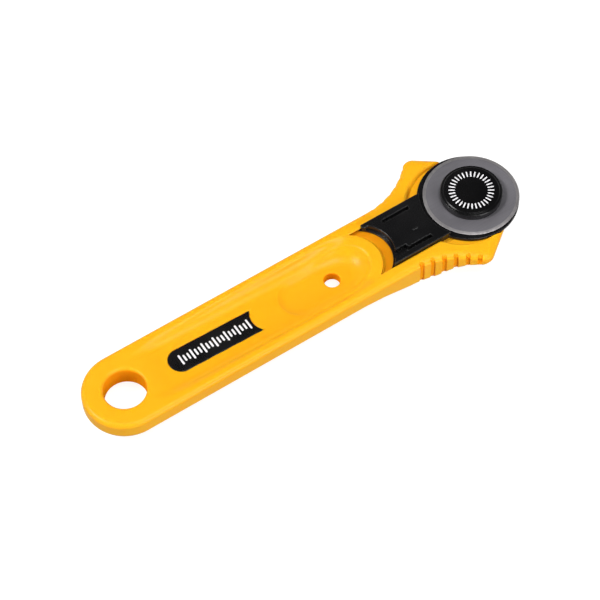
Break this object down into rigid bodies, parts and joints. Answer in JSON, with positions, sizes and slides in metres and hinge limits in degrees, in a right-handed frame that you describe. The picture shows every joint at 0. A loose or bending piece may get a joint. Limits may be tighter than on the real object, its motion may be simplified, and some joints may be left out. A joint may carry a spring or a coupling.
{
  "type": "rotary cutter",
  "caption": "Hand-held rotary cutter: ring-ended grip with a thumb dish, flared head, sliding blade guard, free-turning round blade on a capped bolt, and a thumb nut underneath.",
  "frame": {"origin": "middle of the footprint, at the lowest point of the belly", "axes": "+X from the ring end towards the blade, +Z out of the blade's open face"},
  "size_m": [0.1428, 0.0418, 0.0124],
  "materials": {
    "yellow_plastic": "smooth moulded ABS, slightly glossy",
    "black_plastic": "fine matt moulded plastic",
    "label_black": "satin printed plate",
    "blade_steel": "ground tool steel",
    "bolt_steel": "turned steel",
    "washer_steel": "rolled spring steel",
    "insert_brass": "turned"
  },
  "bodies": {
    "handle": {"handle": "yellow_plastic", "label_plate": "label_black", "blade_bolt": "bolt_steel", "bolt_cap": "black_plastic"},
    "guard": {"blade_guard": "black_plastic"},
    "blade": {"blade": "blade_steel"},
    "washer": {"wave_washer": "washer_steel"},
    "nut": {"thumb_nut": "black_plastic", "nut_insert": "insert_brass"}
  },
  "joints": [
    {"name": "guard_slide", "type": "slide", "parent": "handle", "child": "guard", "axis": [1, 0, 0], "range_m": [-0.0029, 0.0011]},
    {"name": "blade_spin", "type": "hinge", "parent": "handle", "child": "blade", "pos_m": [0.05742, 0, 0.0101], "axis": [0, 0, 1], "continuous": true},
    {"name": "nut_travel", "type": "slide", "parent": "handle", "child": "washer", "axis": [0, 0, -1], "range_m": [0, 0.00158]},
    {"name": "nut_turn", "type": "hinge", "parent": "washer", "child": "nut", "pos_m": [0.05742, 0, 0.003], "axis": [0, 0, -1], "range_deg": [0, 810.2]}
  ],
  "couplings": [
    {"joint": "nut_turn", "follows": "nut_travel", "rad_per_m": 8976}
  ]
}
